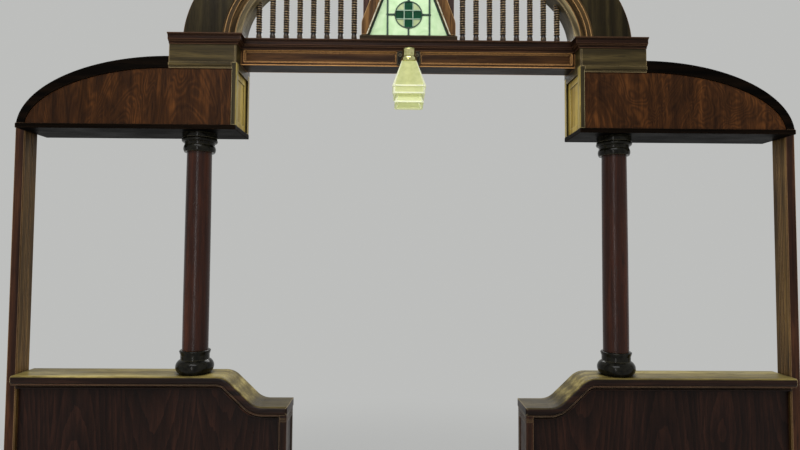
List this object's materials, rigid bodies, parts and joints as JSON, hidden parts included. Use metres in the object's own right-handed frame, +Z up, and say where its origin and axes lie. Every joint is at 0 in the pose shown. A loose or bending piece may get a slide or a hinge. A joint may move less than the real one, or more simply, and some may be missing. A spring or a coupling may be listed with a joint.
{
  "type": "railway coach saloon screen",
  "caption": "Wooden dividing screen across a saloon: low ogee partitions, turned columns, curved box headers, cross beam with a lamp, arched spindle screen with a leaded light.",
  "frame": {"origin": "on the coach floor, on the centre line of the coach and in the middle of the screen's thickness", "axes": "+Z up, +X across the coach to the right as seen from the side with the lamp, +Y along the coach away from the lamp"},
  "size_m": [2.478, 0.244, 2.677],
  "materials": {
    "mahogany": "polished varnish",
    "figured_mahogany": "polished varnish, figured veneer",
    "worn_mahogany": "varnish rubbed by hands",
    "ebonised": "black polish",
    "light_oak": "clear varnish",
    "opal_glass": "opalescent",
    "green_glass": "stained, leaded",
    "straw_glass": "stained, leaded",
    "lead": "dull lead came",
    "brass": "lacquered",
    "bronze": "dark bronzed casting",
    "shade_glass": "frosted",
    "bulb_glass": "frosted bulb with a brass holder"
  },
  "bodies": {
    "root": {"arch_lining": "mahogany", "arch_mould_back": "mahogany", "arch_mould_front": "mahogany", "bed_mould_left": "mahogany", "bed_mould_right": "mahogany", "capping_left": "worn_mahogany", "capping_right": "worn_mahogany", "column_base_left": "ebonised", "column_base_right": "ebonised", "column_cap_left": "ebonised", "column_cap_right": "ebonised", "column_shaft_left": "mahogany", "column_shaft_right": "mahogany", "cornice_back": "mahogany", "cornice_front": "mahogany", "cross_beam": "mahogany", "end_post_left": "mahogany", "end_post_right": "mahogany", "floor_sill_left": "mahogany", "floor_sill_right": "mahogany", "frieze_board_left": "mahogany", "frieze_board_right": "mahogany", "header_back_left": "figured_mahogany", "header_back_right": "figured_mahogany", "header_end_left": "light_oak", "header_end_right": "light_oak", "header_front_left": "figured_mahogany", "header_front_right": "figured_mahogany", "header_posts_left": "light_oak", "header_posts_right": "light_oak", "header_rim_left": "mahogany", "header_rim_right": "mahogany", "header_soffit_left": "mahogany", "header_soffit_right": "mahogany", "lamp_bracket": "bronze", "lamp_bulb": "bulb_glass", "lamp_gallery": "brass", "lamp_shade": "shade_glass", "light_cames": "lead", "light_glass": "opal_glass", "light_quarters": "straw_glass", "light_rakes": "mahogany", "light_roundel": "green_glass", "light_sill": "mahogany", "light_stiles": "mahogany", "lower_panels_left": "mahogany", "lower_panels_right": "mahogany", "mid_rail_left": "mahogany", "mid_rail_right": "mahogany", "muntin_left": "mahogany", "muntin_right": "mahogany", "pier_left": "mahogany", "pier_right": "mahogany", "spandrel": "mahogany", "spindles_left": "mahogany", "spindles_right": "mahogany", "wall_post_left": "mahogany", "wall_post_right": "mahogany"}
  },
  "joints": []
}
